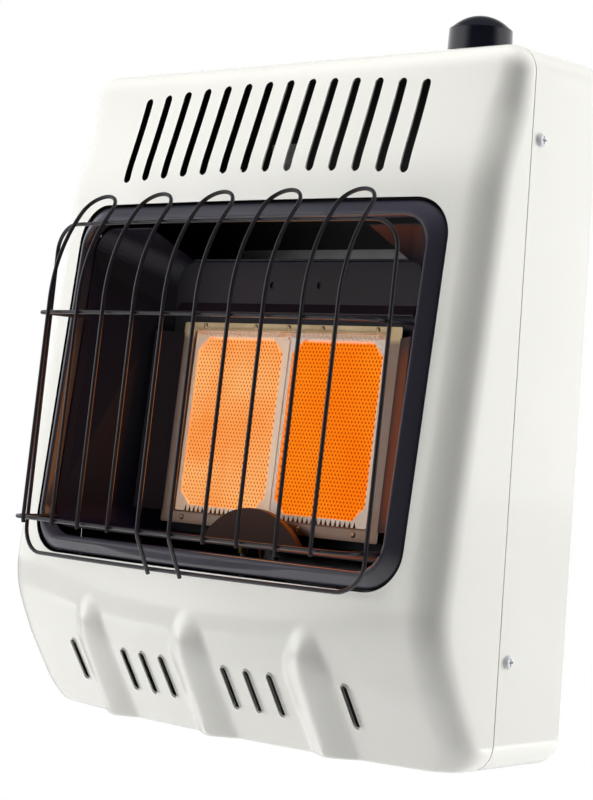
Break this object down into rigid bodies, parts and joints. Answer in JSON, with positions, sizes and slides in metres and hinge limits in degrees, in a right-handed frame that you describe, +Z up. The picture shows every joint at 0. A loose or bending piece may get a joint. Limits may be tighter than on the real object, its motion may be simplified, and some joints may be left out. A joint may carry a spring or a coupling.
{
  "type": "vent-free gas heater",
  "caption": "Wall-hung vent-free gas heater: bowed sheet-steel cabinet, glowing ceramic burner behind a wire guard, press-and-turn control knob on top.",
  "frame": {"origin": "on the wall plane, midway between the two screw holes of the wall bracket", "axes": "+X to the heater's right as seen from the room, +Y into the wall, +Z up"},
  "size_m": [0.4118, 0.1999, 0.5116],
  "materials": {
    "cover_paint": "gloss powder coat, warm off-white",
    "guard_enamel": "dark charcoal, satin",
    "bezel_enamel": "gloss navy-black enamel",
    "firebox_enamel": "dark heat-proof enamel",
    "aluminised_steel": "satin mill finish",
    "heat_tinted_steel": "steel turned brown by heat",
    "zinc_steel": "bright zinc plate",
    "brass": "turned",
    "cast_aluminium": "as cast",
    "aluminium_tube": "drawn tube",
    "copper_tube": "drawn copper",
    "glowing_ceramic": "perforated ceramic, glowing",
    "white_ceramic": "glazed insulator",
    "ceramic_fibre": "soft fibre board",
    "knob_plastic": "gloss moulding, navy-black",
    "lead_sleeve": "silicone sleeve"
  },
  "bodies": {
    "heater": {"front_cover": "cover_paint", "rear_casing": "cover_paint", "wall_bracket": "zinc_steel", "side_screws": "zinc_steel", "window_bezel": "bezel_enamel", "guard_frame": "guard_enamel", "guard_bar_upper": "guard_enamel", "guard_bar_lower": "guard_enamel", "guard_hairpin_1": "guard_enamel", "guard_hairpin_2": "guard_enamel", "guard_hairpin_3": "guard_enamel", "guard_hairpin_4": "guard_enamel", "guard_hairpin_5": "guard_enamel", "firebox": "firebox_enamel", "heat_baffle": "heat_tinted_steel", "reflector_left": "heat_tinted_steel", "reflector_right": "aluminised_steel", "burner_body": "aluminised_steel", "burner_frame": "heat_tinted_steel", "tile_left": "glowing_ceramic", "tile_right": "glowing_ceramic", "tile_gasket": "ceramic_fibre", "burner_screws": "heat_tinted_steel", "venturi": "aluminised_steel", "injector_bracket": "aluminised_steel", "injector": "brass", "pilot_shield": "firebox_enamel", "pilot_bracket": "aluminised_steel", "pilot_burner": "brass", "thermocouple": "copper_tube", "electrode": "white_ceramic", "support_left": "aluminised_steel", "support_right": "aluminised_steel", "heat_shield": "aluminised_steel", "gas_valve": "cast_aluminium", "valve_bonnet": "brass", "valve_nut": "brass", "valve_bracket": "aluminised_steel", "regulator": "cast_aluminium", "regulator_bracket": "aluminised_steel", "supply_tube": "aluminium_tube", "burner_tube": "aluminium_tube", "pilot_tube": "aluminium_tube", "thermocouple_lead": "copper_tube", "ignition_lead": "lead_sleeve"},
    "rotor": {"valve_rotor": "brass"},
    "knob": {"control_stem": "zinc_steel", "control_knob": "knob_plastic"}
  },
  "joints": [
    {"name": "control_turn", "type": "hinge", "parent": "heater", "child": "rotor", "pos_m": [0.1275, -0.037, 0.002], "axis": [0, 0, 1], "range_deg": [0, 210]},
    {"name": "control_press", "type": "slide", "parent": "rotor", "child": "knob", "axis": [0, 0, -1], "range_m": [0, 0.0035], "stiffness_N_per_m": 800, "springref_m": -0.002}
  ]
}
